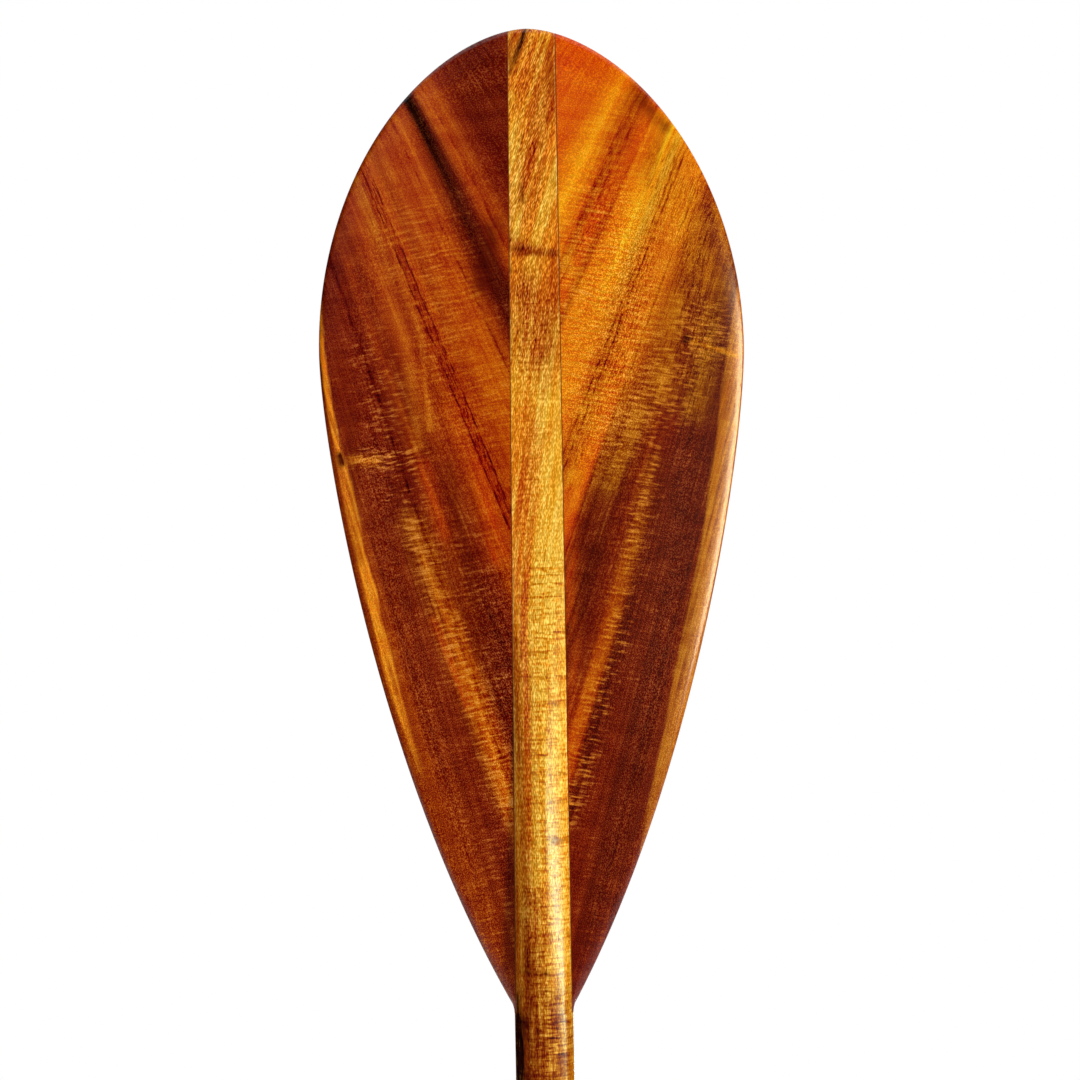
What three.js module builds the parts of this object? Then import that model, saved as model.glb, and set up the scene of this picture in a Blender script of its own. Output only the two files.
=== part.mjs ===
// Outrigger canoe paddle in curly koa, standing blade up.
// Three boards make the blade: one long stave, which is the shaft, the rib and the centre strip to
// the tip, and a wing edge-glued to each of its cheeks. A crosswise grip is dowelled and glued to
// the shaft's other end. Millimetres; +Z runs along the shaft to the tip, +X to the right wing and
// -Y to the viewer. The origin is on the shaft's axis at the neck, where the wings run out.

import * as THREE from 'three';
import { mergeVertices } from 'three/addons/utils/BufferGeometryUtils.js';

// Blade outline, seen from the front
const bladeLength = 538;
const bladeWidth = 232.5;
const widestHeight = 363;
const tipFullness = 0.575;
const flankReach = 50;
const shoulderReach = 128;
const shoulderAngle = 29;
const shoulderWidth = 34.4;
const runoutHeight = 5;
const featherWidth = 0.4;

// Blade thickness, at the joints, at the rim and at the tip
const neckBladeThickness = 8;
const bladeThickness = 9.5;
const tipThickness = 6;
const tipTaperLength = 120;
const rimThickness = 5.2;
const bevelWidth = 11;
const bevelDepth = 1;
const rimRounding = 2.4;

// Stave: round shaft, rib over the lower blade, centre strip to the tip
const shaftLength = 800;
const shaftNeckDiameter = 32;
const shaftGripDiameter = 28;
const ribHeight = 290;
const leftStripAtTip = 9.8;
const rightStripAtTip = 16.1;

// Grip and the dowel that carries it
const gripWidth = 108;
const gripHeight = 34;
const gripDepth = 31;
const gripArmDrop = 8;
const gripEquatorDrop = 19;
const gripHollowReach = 8;
const gripEndRounding = 15;
const gripPlanPower = 3.2;
const gripPalmPower = 2.8;
const dowelDiameter = 12;
const dowelInShaft = 40;
const dowelInGrip = 22;

// Glue films and the clearances beside them
const glueThickness = 0.4;
const glueClearance = 0.05;
const dowelClearance = 0.3;
const shoulderClearance = 0.3;

// Facets
const flankSteps = 20;
const runoutSteps = 3;
const tipStepAngle = 6;
const archSteps = 14;
const wingSteps = 6;
const bevelSteps = 2;
const roundingSteps = 3;
const shaftSteps = 8;
const gripSides = 40;
const filletSteps = 3;
const palmSteps = 7;
const dowelSides = 24;

// Worked out from the sizes above
const seam = glueThickness + 2 * glueClearance;
const neckRadius = shaftNeckDiameter / 2;
const gripRadius = shaftGripDiameter / 2;
const boreRadius = dowelDiameter / 2 + dowelClearance;
const neckRoot = neckBladeThickness / 2;
const cheekAtNeck = Math.sqrt(neckRadius ** 2 - neckRoot ** 2);
const archAngle = Math.acos(neckRoot / neckRadius);
const tipHeight = bladeLength - widestHeight;

const mix = (from, to, share) => from + (to - from) * share;
const smooth = (share) => (1 - Math.cos(Math.PI * share)) / 2;
const limit = (value) => Math.min(1, Math.max(0, value));
const steps = (count) => Array.from({ length: count + 1 }, (_, step) => step / count);

// Distance of a glued cheek's middle plane from the axis: a straight line from neck to tip
const cheek = (stripAtTip, height) => mix(cheekAtNeck, stripAtTip, height / bladeLength);

// One station of the outline: its height, its half-width and how fast the half-width changes
const station = (height, half, slope) => ({ height, half, stretch: Math.hypot(1, slope) });

// Run-out: a small hollow turn that brings the flank down onto the shaft
function runoutStations() {
  const start = cheekAtNeck + seam / 2 + featherWidth;
  const rise = shoulderWidth / 2 - start;
  return steps(runoutSteps).map((share) => {
    return station(share * runoutHeight, start + rise * share ** 2, 2 * rise * share / runoutHeight);
  });
}

// Flank: one cubic curve from the shoulder, at its angle, to the widest line, upright
function flankStations() {
  const lean = Math.tan(THREE.MathUtils.degToRad(shoulderAngle));
  const curve = new THREE.CubicBezierCurve(
    new THREE.Vector2(shoulderWidth / 2, runoutHeight),
    new THREE.Vector2(shoulderWidth / 2 + shoulderReach * lean, runoutHeight + shoulderReach),
    new THREE.Vector2(bladeWidth / 2, widestHeight - flankReach),
    new THREE.Vector2(bladeWidth / 2, widestHeight),
  );
  return steps(flankSteps).map((share) => {
    const point = curve.getPoint(share);
    const tangent = curve.getTangent(share);
    return station(point.y, point.x, tangent.x / tangent.y);
  });
}

// Tip: half-width falls with a power of the cosine while the height climbs with the sine
function tipStation(degrees) {
  const angle = THREE.MathUtils.degToRad(degrees);
  const power = 2 * tipFullness;
  const cosine = Math.max(Math.cos(angle), 1e-9);
  const half = bladeWidth / 2 * cosine ** power;
  const slope = -bladeWidth / 2 * power * cosine ** (power - 2) * Math.sin(angle) / tipHeight;
  return station(widestHeight + tipHeight * Math.sin(angle), half, slope);
}

// Angle on the tip at which the outline crosses a line that runs beside a cheek
function tipCrossing(stripAtTip, offset) {
  let low = 0;
  let high = 90;
  while (high - low > 1e-9) {
    const middle = (low + high) / 2;
    const { height, half } = tipStation(middle);
    if (half > cheek(stripAtTip, height) + offset) low = middle;
    else high = middle;
  }
  return low;
}

// All stations from the neck up to the last of the given tip angles, which are all kept
function bladeStations(...tipStops) {
  const stations = [...runoutStations(), ...flankStations().slice(1)];
  let from = 0;
  for (const stop of tipStops.sort((a, b) => a - b)) {
    const count = Math.max(1, Math.ceil((stop - from) / tipStepAngle));
    for (const share of steps(count).slice(1)) stations.push(tipStation(mix(from, stop, share)));
    from = stop;
  }
  return stations;
}

// Half the blade's thickness beside the cheeks: it grows from the neck to the top of the rib,
// stays level, and thins again to the tip
function rootThickness(height) {
  const grown = mix(neckRoot, bladeThickness / 2, smooth(limit(height / ribHeight)));
  const tipShare = limit((height - bladeLength + tipTaperLength) / tipTaperLength);
  return mix(grown, tipThickness / 2, tipShare ** 2);
}

// Half the blade's thickness at a point: level over the stave, crowned over the wing, eased down
// over the bevel, and rounded off to nothing at the rim
function halfThickness({ height, half, stretch }, across, cheekAcross) {
  const root = rootThickness(height);
  const inset = Math.max(0, (half ** 2 - across ** 2) / (2 * half * stretch));
  const wingShare = limit((Math.abs(across) - cheekAcross) / Math.max(half - cheekAcross, 1e-6));
  const rim = Math.min(root, rimThickness / 2);
  const bevel = bevelDepth * limit(1 - inset / bevelWidth) ** 2;
  const crowned = mix(root, rim, wingShare ** 2) - bevel;
  return crowned * Math.sqrt(1 - limit(1 - inset / rimRounding) ** 2);
}

// Closed solid through a row of rings with equal counts of points, counter-clockwise seen from
// above where the outside climbs. Both ends are closed by a ladder of triangles across the ring.
function loft(rings) {
  const sides = rings[0].length;
  const positions = rings.flat(2);
  const index = [];
  for (let ring = 0; ring < rings.length - 1; ring++) {
    for (let side = 0; side < sides; side++) {
      const a = ring * sides + side;
      const b = ring * sides + (side + 1) % sides;
      index.push(a, b, b + sides, a, b + sides, a + sides);
    }
  }
  const last = (rings.length - 1) * sides;
  for (let near = 0, far = sides - 1; far - near > 1; near++, far--) {
    index.push(near, far, near + 1, last + near, last + near + 1, last + far);
    if (far - near < 3) continue;
    index.push(near + 1, far, far - 1, last + near + 1, last + far - 1, last + far);
  }
  const open = new THREE.BufferGeometry();
  open.setAttribute('position', new THREE.Float32BufferAttribute(positions, 3));
  open.setIndex(index);
  const merged = mergeVertices(open, 1e-3);
  const corners = merged.index.array;
  const kept = [];
  for (let at = 0; at < corners.length; at += 3) {
    const [a, b, c] = corners.slice(at, at + 3);
    if (a !== b && b !== c && c !== a) kept.push(a, b, c);
  }
  merged.setIndex(kept);
  merged.computeVertexNormals();
  return merged;
}

const circle = (radius, height, sides) => Array.from({ length: sides }, (_, side) => {
  const angle = 2 * Math.PI * side / sides;
  return [radius * Math.cos(angle), radius * Math.sin(angle), height];
});

// One ring of the stave: a cheek on each side, and an arch over the back and over the front.
// The arch is a piece of a circle, squeezed to the given rise.
function staveRing(height, right, left, rise, bulge, thicknessAt) {
  const middle = (right - left) / 2;
  const reach = (right + left) / 2;
  const arch = steps(archSteps).map((share) => {
    const angle = mix(archAngle, -archAngle, share);
    const across = middle + reach * Math.sin(angle) / Math.sin(archAngle);
    const swell = (Math.cos(angle) - Math.cos(archAngle)) / (1 - Math.cos(archAngle));
    return [across, thicknessAt(across) + rise * swell, height];
  });
  const front = arch.map(([across, depth]) => [across, -depth, height]).reverse();
  return [[right + bulge, 0, height], ...arch, [-left - bulge, 0, height], ...front];
}

const shaftRing = (radius, height) => {
  const side = radius * Math.sin(archAngle);
  const root = radius * Math.cos(archAngle);
  return staveRing(height, side, side, radius - root, radius - side, () => root);
};

function bladeRing(place, height = place.height) {
  const right = Math.min(cheek(rightStripAtTip, height) - seam / 2, place.half);
  const left = Math.min(cheek(leftStripAtTip, height) - seam / 2, place.half);
  const rise = (neckRadius - neckRoot) * (1 - smooth(limit(height / ribHeight)));
  return staveRing(height, right, left, rise, 0, (across) => halfThickness(place, across, Infinity));
}

// Stave: dowel bore, butt end, round shaft, shoulder under each wing, rib, strip, tip
function staveGeometry() {
  const stations = bladeStations(
    tipCrossing(rightStripAtTip, -seam / 2),
    tipCrossing(leftStripAtTip, -seam / 2),
    90,
  );
  const sides = 2 * archSteps + 4;
  const bore = (height) => circle(boreRadius, height, sides);
  const shaft = steps(shaftSteps).map((share) => {
    const height = mix(-shaftLength, -shoulderClearance, share);
    return shaftRing(mix(gripRadius, neckRadius, smooth(share)), height);
  });
  return loft([
    bore(dowelInShaft + dowelClearance - shaftLength),
    bore(-shaftLength),
    ...shaft,
    bladeRing(stations[0], -shoulderClearance),
    ...stations.map((place) => bladeRing(place)),
  ]);
}

// Wing on one side, 1 for right and -1 for left: a flat glued cheek, a crowned face on the back and
// on the front, a bevel and a rounded rim
function wingGeometry(side, stripAtTip) {
  const stations = bladeStations(tipCrossing(stripAtTip, seam / 2));
  const rings = stations.map((place) => {
    const root = Math.min(cheek(stripAtTip, place.height) + seam / 2, place.half);
    const span = place.half - root;
    const roundSpan = Math.min(rimRounding * place.stretch, span / 2);
    const bevelSpan = Math.min(bevelWidth * place.stretch, 3 * span / 4);
    const inner = steps(wingSteps).map((share) => root + (span - bevelSpan) * share);
    const bevel = steps(bevelSteps).map((share) => place.half - mix(bevelSpan, roundSpan, share));
    const round = steps(roundingSteps).map((share) => {
      return place.half - roundSpan * (1 - Math.sin(Math.PI / 2 * share));
    });
    const across = [...inner, ...bevel.slice(1), ...round.slice(1)];
    const back = across.map((x) => [side * x, halfThickness(place, x, root), place.height]);
    const front = back.slice(0, -1).map(([x, y, z]) => [x, -y, z]).reverse();
    const ring = [...back, ...front];
    return side < 0 ? ring : ring.reverse();
  });
  return loft(rings);
}

// Glue film between the stave and one wing, as deep as the blade is there
function glueLineGeometry(side, stripAtTip) {
  const stations = bladeStations(tipCrossing(stripAtTip, 0));
  const rings = stations.map((place) => {
    const middle = side * Math.min(cheek(stripAtTip, place.height), place.half);
    const depth = halfThickness(place, middle, Infinity);
    const low = middle - glueThickness / 2;
    const high = middle + glueThickness / 2;
    const { height } = place;
    return [[high, -depth, height], [high, depth, height], [low, depth, height], [low, -depth, height]];
  });
  return loft(rings);
}

// Grip: the seat meets the shaft's end, a hollow turn leads out to each arm, and the palm side is
// one long dome. Seen along the shaft it is a rounded oblong.
function gripGeometry() {
  const seat = -shaftLength - seam;
  const oblong = 2 / gripPlanPower;
  const dome = 2 / gripPalmPower;
  const armReach = gripWidth / 2 - gripRadius;
  const power = (value, exponent) => Math.sign(value) * Math.abs(value) ** exponent;
  const ring = (share, drop) => circle(1, seat - drop, gripSides).map(([x, y, z]) => {
    const rim = [gripWidth / 2 * power(x, oblong), gripDepth / 2 * power(y, oblong)];
    return [mix(gripRadius * x, rim[0], share), mix(gripRadius * y, rim[1], share), z];
  });
  const hollow = steps(filletSteps).map((share) => {
    const turn = Math.PI / 2 * share;
    return ring(gripHollowReach / armReach * (1 - Math.cos(turn)), gripArmDrop * Math.sin(turn));
  });
  const shoulder = steps(filletSteps).map((share) => {
    const turn = Math.PI / 2 * share;
    const drop = mix(gripArmDrop, gripEquatorDrop, 1 - Math.cos(turn));
    return ring(1 - gripEndRounding / armReach * (1 - Math.sin(turn)), drop);
  });
  const palm = steps(palmSteps).map((share) => {
    const turn = Math.PI / 2 * share;
    const width = power(Math.max(Math.cos(turn), 0), dome);
    const drop = mix(gripEquatorDrop, gripHeight, power(Math.sin(turn), dome));
    return ring(1, drop).map(([x, y, z]) => [width * x, width * y, z]);
  });
  const bore = (drop) => circle(boreRadius, seat - drop, gripSides);
  return loft([
    ...palm.slice(1).reverse(),
    ...shoulder.reverse(),
    ...hollow.reverse(),
    bore(0),
    bore(dowelInGrip + dowelClearance),
  ]);
}

// Dowel: half in the shaft's end, half in the grip
function dowelGeometry() {
  const low = -shaftLength - seam - dowelInGrip;
  const high = -shaftLength + dowelInShaft;
  return loft([circle(dowelDiameter / 2, low, dowelSides), circle(dowelDiameter / 2, high, dowelSides)]);
}

// Ring of glue between the shaft's end and the grip's seat, around the dowel
function gripGlueGeometry() {
  const high = -shaftLength - glueClearance;
  const low = high - glueThickness;
  const sides = 2 * archSteps + 4;
  const profile = [
    new THREE.Vector2(boreRadius, low),
    new THREE.Vector2(gripRadius, low),
    new THREE.Vector2(gripRadius, high),
    new THREE.Vector2(boreRadius, high),
    new THREE.Vector2(boreRadius, low),
  ];
  return new THREE.LatheGeometry(profile, sides).rotateX(Math.PI / 2);
}

const koa = (color) => new THREE.MeshStandardMaterial({ color, roughness: 0.25, metalness: 0 });
const curedGlue = () => new THREE.MeshStandardMaterial({ color: 0x2a1108, roughness: 0.45, metalness: 0 });
const maple = () => new THREE.MeshStandardMaterial({ color: 0xc9a877, roughness: 0.7, metalness: 0 });

const paddle = new THREE.Group();

function addPiece(name, geometry, material) {
  const mesh = new THREE.Mesh(geometry, material);
  mesh.name = name;
  paddle.add(mesh);
}

addPiece('shaft_spine', staveGeometry(), koa(0xc8862c));
addPiece('left_wing', wingGeometry(-1, leftStripAtTip), koa(0x86360c));
addPiece('right_wing', wingGeometry(1, rightStripAtTip), koa(0xa04d12));
addPiece('left_glue_line', glueLineGeometry(-1, leftStripAtTip), curedGlue());
addPiece('right_glue_line', glueLineGeometry(1, rightStripAtTip), curedGlue());
addPiece('t_grip', gripGeometry(), koa(0x94470f));
addPiece('grip_dowel', dowelGeometry(), maple());
addPiece('grip_glue_line', gripGlueGeometry(), curedGlue());

export default paddle;
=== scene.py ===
"""Outrigger canoe paddle in curly koa, dressed for its portrait.

The blade is three boards: a long stave that is shaft, rib and centre strip in one, and a wing glued
to each of its cheeks. A crosswise grip is dowelled to the far end of the shaft. Lengths are
metres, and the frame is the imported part's: +Z up the shaft to the tip, +X to the right wing, -Y to
the viewer. Places in the figure of the wood are millimetres in that frame.
"""

import math

import bmesh
import bpy
import numpy as np
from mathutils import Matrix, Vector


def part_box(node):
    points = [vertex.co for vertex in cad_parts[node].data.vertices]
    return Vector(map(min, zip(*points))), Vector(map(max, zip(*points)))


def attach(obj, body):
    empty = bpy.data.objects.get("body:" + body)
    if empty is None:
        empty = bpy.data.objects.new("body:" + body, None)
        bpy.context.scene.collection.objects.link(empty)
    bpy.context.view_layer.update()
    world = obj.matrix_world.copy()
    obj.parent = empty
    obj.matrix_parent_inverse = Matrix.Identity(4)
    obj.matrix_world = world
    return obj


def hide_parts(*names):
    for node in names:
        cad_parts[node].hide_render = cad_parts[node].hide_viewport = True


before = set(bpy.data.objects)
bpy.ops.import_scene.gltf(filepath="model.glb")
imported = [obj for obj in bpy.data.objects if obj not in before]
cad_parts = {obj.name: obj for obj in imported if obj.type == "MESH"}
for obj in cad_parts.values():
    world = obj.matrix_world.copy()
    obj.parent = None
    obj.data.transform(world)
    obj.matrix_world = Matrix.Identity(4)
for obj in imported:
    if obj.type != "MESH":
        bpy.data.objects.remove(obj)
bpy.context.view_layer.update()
scene = bpy.context.scene


# The stave
# One long koa board: planed round as the shaft, left half round as the rib over the lower blade,
# and planed flat as the centre strip that runs on to the tip. Hand varnished, so its colour is deep
# and wet, and pores show as dark ticks where the varnish shines.

MM = 0.001

stave_low, stave_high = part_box("shaft_spine")
blade_length = stave_high.z
shaft_length = -stave_low.z
neck_radius = stave_high.y
half_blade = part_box("right_wing")[1].x
grip_end_radius = 14 * MM
dowel_bore = 6.3 * MM
stave_bore_depth = 40.3 * MM

widest_height = 363 * MM
tip_fullness = 0.575
flank_reach = 50 * MM
shoulder_reach = 128 * MM
shoulder_angle = math.radians(29)
shoulder_half = 17.2 * MM
runout_height = 5 * MM
feather_width = 0.4 * MM

neck_root = 4 * MM
full_root = 4.75 * MM
tip_root = 3 * MM
tip_taper = 120 * MM
rim_root = 2.6 * MM
bevel_width = 11 * MM
bevel_depth = 1 * MM
rim_rounding = 2.4 * MM
plane_wave = 0.05 * MM
rib_height = 290 * MM
strip_at_tip = {-1: 9.8 * MM, 1: 16.1 * MM}
half_seam = 0.25 * MM
no_wing = 1.0

cheek_at_neck = math.sqrt(neck_radius ** 2 - neck_root ** 2)
arch_angle = math.acos(neck_root / neck_radius)

# Koa's tones, from mineral streak to sapwood, as the varnish shows them
koa_tones = {
    "ink": "#1e0500",
    "wine": "#501004",
    "maroon": "#621604",
    "liver": "#701a04",
    "chestnut": "#7c2402",
    "crimson": "#8a1a00",
    "russet": "#903200",
    "rust": "#a03c00",
    "copper": "#b04c00",
    "tangerine": "#cc5000",
    "orange": "#cc5800",
    "amber": "#d87602",
    "honey": "#ea960a",
    "straw": "#fac828",
    "gold": "#d0901e",
    "flax": "#dca034",
    "wheat": "#d0740c",
    "fawn": "#d07a20",
    "brass": "#b07610",
}


def linear(hex_colour):
    """An sRGB hex colour as linear red, green, blue and alpha 1."""
    parts = [int(hex_colour[at:at + 2], 16) / 255 for at in (1, 3, 5)]
    return [c / 12.92 if c <= 0.04045 else ((c + 0.055) / 1.055) ** 2.4 for c in parts] + [1.0]


def mix(low, high, share):
    """Straight blend from low to high."""
    return low + (high - low) * share


def smooth(share):
    """Half a cosine wave, from 0 up to 1, held level outside that range."""
    return (1 - np.cos(np.pi * np.clip(share, 0, 1))) / 2


def cheek(side, height):
    """Distance of a glued cheek from the axis: a straight line from the neck to the tip."""
    return mix(cheek_at_neck, strip_at_tip[side], height / blade_length)


def outline(last_angle, flank_rows=240, tip_rows=110):
    """Rows of height, half-width and stretch up the blade's edge.

    The run-out rises as a square, the flank is one cubic curve from the shoulder to the widest
    line, and round the tip the half-width falls as a power of the cosine while the height climbs
    with the sine. Stretch is the edge's length per unit of height."""
    share = np.linspace(0, 1, 10)
    start = cheek_at_neck + half_seam + feather_width
    rise = shoulder_half - start
    runout = (share * runout_height, start + rise * share ** 2, 2 * rise * share / runout_height)

    t = np.linspace(0, 1, flank_rows)[1:]
    weights = np.array([(1 - t) ** 3, 3 * t * (1 - t) ** 2, 3 * t ** 2 * (1 - t), t ** 3])
    slopes = 3 * np.array([-(1 - t) ** 2, (1 - t) * (1 - 3 * t), t * (2 - 3 * t), t ** 2])
    halves = np.array([
        shoulder_half,
        shoulder_half + shoulder_reach * math.tan(shoulder_angle),
        half_blade,
        half_blade,
    ])
    heights = np.array([
        runout_height,
        runout_height + shoulder_reach,
        widest_height - flank_reach,
        widest_height,
    ])
    flank = (heights @ weights, halves @ weights, (halves @ slopes) / (heights @ slopes))

    angle = np.linspace(0, last_angle, tip_rows)[1:]
    cosine = np.maximum(np.cos(angle), 1e-9)
    power = 2 * tip_fullness
    tip_height = blade_length - widest_height
    tip = (
        widest_height + tip_height * np.sin(angle),
        half_blade * cosine ** power,
        -half_blade * power * cosine ** (power - 2) * np.sin(angle) / tip_height,
    )
    height, half, slope = (np.concatenate(parts) for parts in zip(runout, flank, tip))
    return height, half, np.hypot(1, slope)


def tip_crossing(side, offset):
    """Angle round the tip at which the blade's edge meets a line beside a cheek."""
    angle = np.linspace(0, np.pi / 2, 20001)
    height = widest_height + (blade_length - widest_height) * np.sin(angle)
    half = half_blade * np.cos(angle) ** (2 * tip_fullness)
    return angle[np.argmin(np.abs(half - cheek(side, height) - offset))]


def root_thickness(height):
    """Half the thickness by the joints: it grows up the rib, stays level, then thins to the tip."""
    grown = mix(neck_root, full_root, smooth(height / rib_height))
    share = np.clip((height - blade_length + tip_taper) / tip_taper, 0, 1)
    return mix(grown, tip_root, share ** 2)


def hand_planed(across, height):
    """The slow waves that a plane and scraper leave in a face: two crossed sines, which repeat
    every 120 mm across and 90 mm along, wander a little, and are plane_wave high."""
    waves = np.sin(across / (19 * MM) + 2 * np.sin(height / (61 * MM)))
    return plane_wave * waves * np.sin(height / (14 * MM) + across / (33 * MM))


def half_thickness(height, half, stretch, across, cheek_across):
    """Half the blade's thickness: level over the stave, crowned by a square over the wing, eased by
    a square over the bevel, and rounded off by a quarter circle at the rim. With the cheek's place
    across given as no_wing, the crown is left out."""
    root = root_thickness(height)
    safe_half = np.maximum(half, 1e-6)
    inset = np.maximum(0, (half ** 2 - across ** 2) / (2 * safe_half * stretch))
    width = np.maximum(half - cheek_across, 1e-6)
    wing_share = np.clip((np.abs(across) - cheek_across) / width, 0, 1)
    bevel = bevel_depth * np.clip(1 - inset / bevel_width, 0, 1) ** 2
    crowned = mix(root, np.minimum(root, rim_root), wing_share ** 2) - bevel
    crowned = crowned + hand_planed(across, height) * np.clip(inset / bevel_width, 0, 1)
    return crowned * np.sqrt(1 - np.clip(1 - inset / rim_rounding, 0, 1) ** 2)


def put_in_scene(name, data):
    """An object of the scene that shows the mesh, lamp or camera in data."""
    thing = bpy.data.objects.new(name, data)
    scene.collection.objects.link(thing)
    return thing


def ring_mesh(name, rings):
    """A mesh through rows of closed rings, given as an array of rows by points by 3."""
    rows, points = rings.shape[:2]
    corner = np.arange(rows * points).reshape(rows, points)
    beside = np.roll(corner, -1, axis=1)
    quads = np.stack([corner[:-1], beside[:-1], beside[1:], corner[1:]], axis=-1).reshape(-1, 4)
    mesh = bpy.data.meshes.new(name)
    mesh.from_pydata(rings.reshape(-1, 3), [], quads)
    return mesh


def closed_skin(name, rings):
    """A closed, smooth piece through rows of rings. Each end is drawn together to the middle of its
    last ring, and points that fall together there or at a feathered edge become one."""
    rings = np.concatenate([
        np.repeat(rings[:1].mean(axis=1, keepdims=True), rings.shape[1], axis=1),
        rings,
        np.repeat(rings[-1:].mean(axis=1, keepdims=True), rings.shape[1], axis=1),
    ])
    mesh = ring_mesh(name, rings)
    work = bmesh.new()
    work.from_mesh(mesh)
    bmesh.ops.remove_doubles(work, verts=work.verts, dist=2e-6)
    bmesh.ops.dissolve_degenerate(work, edges=work.edges, dist=1e-7)
    bmesh.ops.recalc_face_normals(work, faces=work.faces)
    work.to_mesh(mesh)
    work.free()
    mesh.polygons.foreach_set("use_smooth", np.ones(len(mesh.polygons), bool))
    mesh.set_sharp_from_angle(angle=math.radians(32))
    return put_in_scene(name, mesh)


def points_of(piece):
    """The piece's vertices as columns x, y and z, in millimetres."""
    flat = np.empty(len(piece.data.vertices) * 3)
    piece.data.vertices.foreach_get("co", flat)
    return flat.reshape(-1, 3).T / MM


def write_layer(piece, layer, values):
    """Keeps one number, or one vector, at every vertex under the layer's name."""
    values = np.asarray(values, np.float32)
    kind = "FLOAT" if values.ndim == 1 else "FLOAT_VECTOR"
    field = "value" if values.ndim == 1 else "vector"
    piece.data.attributes.new(layer, kind, "POINT").data.foreach_set(field, values.ravel())


def stroke(x, z, x1, z1, x2, z2, width):
    """A soft-edged stroke of figure from x1, z1 to x2, z2: 1 on the line, falling as a bell curve
    across the given width and past both ends."""
    run, climb = x2 - x1, z2 - z1
    share = np.clip(((x - x1) * run + (z - z1) * climb) / (run ** 2 + climb ** 2), 0, 1)
    away = np.hypot(x - x1 - share * run, z - z1 - share * climb)
    return np.exp(-(away / (width / 2)) ** 2)


def write_strokes(piece, x, z, layers):
    """Writes each named layer as the strongest of its strokes. A stroke is x and z where it starts
    and where it ends, its width and its strength."""
    for layer, strokes in layers.items():
        shares = [strength * stroke(x, z, *line) for *line, strength in strokes]
        write_layer(piece, layer, np.max(shares, axis=0))


def add(tree, kind, inputs=(), out=0, **settings):
    """Adds one shader node and returns one of its outputs. Settings are the node's properties.

    Inputs gives sockets a plain value or the output that feeds them: in order from the first one,
    or by name or number. Map Range's order is value, from low, from high, to low, to high."""
    node = tree.nodes.new(f"ShaderNode{kind}")
    for name, value in settings.items():
        setattr(node, name, value)
    for socket, value in inputs.items() if isinstance(inputs, dict) else enumerate(inputs):
        if isinstance(value, bpy.types.NodeSocket):
            tree.links.new(value, node.inputs[socket])
        else:
            node.inputs[socket].default_value = value
    return node.outputs[out] if node.outputs else None


def blank_material(name):
    """A material with no nodes yet, and its node tree."""
    material = bpy.data.materials.new(name)
    material.use_nodes = True
    material.node_tree.nodes.clear()
    return material, material.node_tree


display_gamma = 2.2
step_of_tone = (1, 1, 0.8)


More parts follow.
